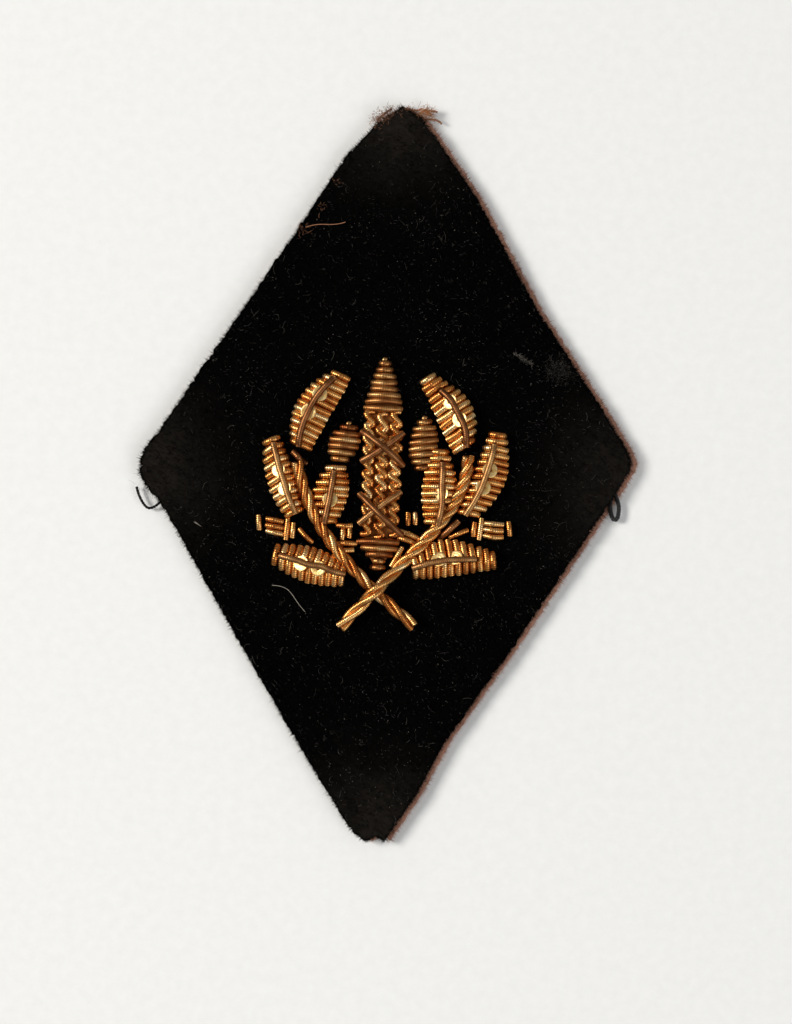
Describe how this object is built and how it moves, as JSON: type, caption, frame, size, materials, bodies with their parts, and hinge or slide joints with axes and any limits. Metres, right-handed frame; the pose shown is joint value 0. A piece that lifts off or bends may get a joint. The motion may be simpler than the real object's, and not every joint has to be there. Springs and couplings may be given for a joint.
{
  "type": "embroidered cap badge",
  "caption": "Black velvet lozenge with a gold bullion emblem: a bound column between crossed leafy sprigs, padded and backed with brown cloth.",
  "frame": {"origin": "middle of the back face, under the middle of the lozenge", "axes": "+Y to the top point, +X to the wearer's left as seen from the front, +Z out of the embroidered face"},
  "size_m": [0.0653, 0.096, 0.0057],
  "materials": {
    "black_velvet": "deep black short pile, slightly dusty",
    "backing_felt": "reddish-brown felted wool, matte",
    "interlining_linen": "stiff unbleached plain weave",
    "padding_felt": "dense yellow felt",
    "gold_purl": "aged gilt wire, bright on the crests and brown in the grooves",
    "pale_sequin": "pale gilt, polished with fine scratches",
    "sewing_thread": "waxed yellow cotton",
    "black_thread": "twisted black thread",
    "frayed_thread": "loose brown yarn ends"
  },
  "bodies": {
    "root": {"backing_cloth": "backing_felt", "sewing_thread": "sewing_thread", "interlining": "interlining_linen", "velvet_ground": "black_velvet", "upper_left_leaf_padding": "padding_felt", "upper_left_leaf_purls": "gold_purl", "upper_left_leaf_midrib": "gold_purl", "upper_left_leaf_sequins": "pale_sequin", "outer_left_leaf_padding": "padding_felt", "outer_left_leaf_purls": "gold_purl", "outer_left_leaf_midrib": "gold_purl", "outer_left_leaf_sequins": "pale_sequin", "inner_left_leaf_padding": "padding_felt", "inner_left_leaf_purls": "gold_purl", "inner_left_leaf_midrib": "gold_purl", "inner_left_leaf_sequins": "pale_sequin", "lower_left_leaf_padding": "padding_felt", "lower_left_leaf_purls": "gold_purl", "lower_left_leaf_midrib": "gold_purl", "lower_left_leaf_sequins": "pale_sequin", "upper_right_leaf_padding": "padding_felt", "upper_right_leaf_purls": "gold_purl", "upper_right_leaf_midrib": "gold_purl", "upper_right_leaf_sequins": "pale_sequin", "outer_right_leaf_padding": "padding_felt", "outer_right_leaf_purls": "gold_purl", "outer_right_leaf_midrib": "gold_purl", "outer_right_leaf_sequins": "pale_sequin", "inner_right_leaf_padding": "padding_felt", "inner_right_leaf_purls": "gold_purl", "inner_right_leaf_midrib": "gold_purl", "inner_right_leaf_sequins": "pale_sequin", "lower_right_leaf_padding": "padding_felt", "lower_right_leaf_purls": "gold_purl", "lower_right_leaf_midrib": "gold_purl", "lower_right_leaf_sequins": "pale_sequin", "left_bud_padding": "padding_felt", "left_bud_purls": "gold_purl", "right_bud_padding": "padding_felt", "right_bud_purls": "gold_purl", "column_padding": "padding_felt", "finial_purls": "gold_purl", "left_rod": "gold_purl", "middle_rod": "gold_purl", "right_rod": "gold_purl", "foot_purls": "gold_purl", "upper_lacing": "gold_purl", "lower_lacing": "gold_purl", "left_stem": "gold_purl", "right_stem": "gold_purl", "outer_left_hilt": "gold_purl", "outer_right_hilt": "gold_purl", "inner_left_hilt": "gold_purl", "inner_right_hilt": "gold_purl", "top_fray": "frayed_thread", "left_corner_thread": "black_thread", "right_corner_loop": "black_thread"}
  },
  "joints": []
}
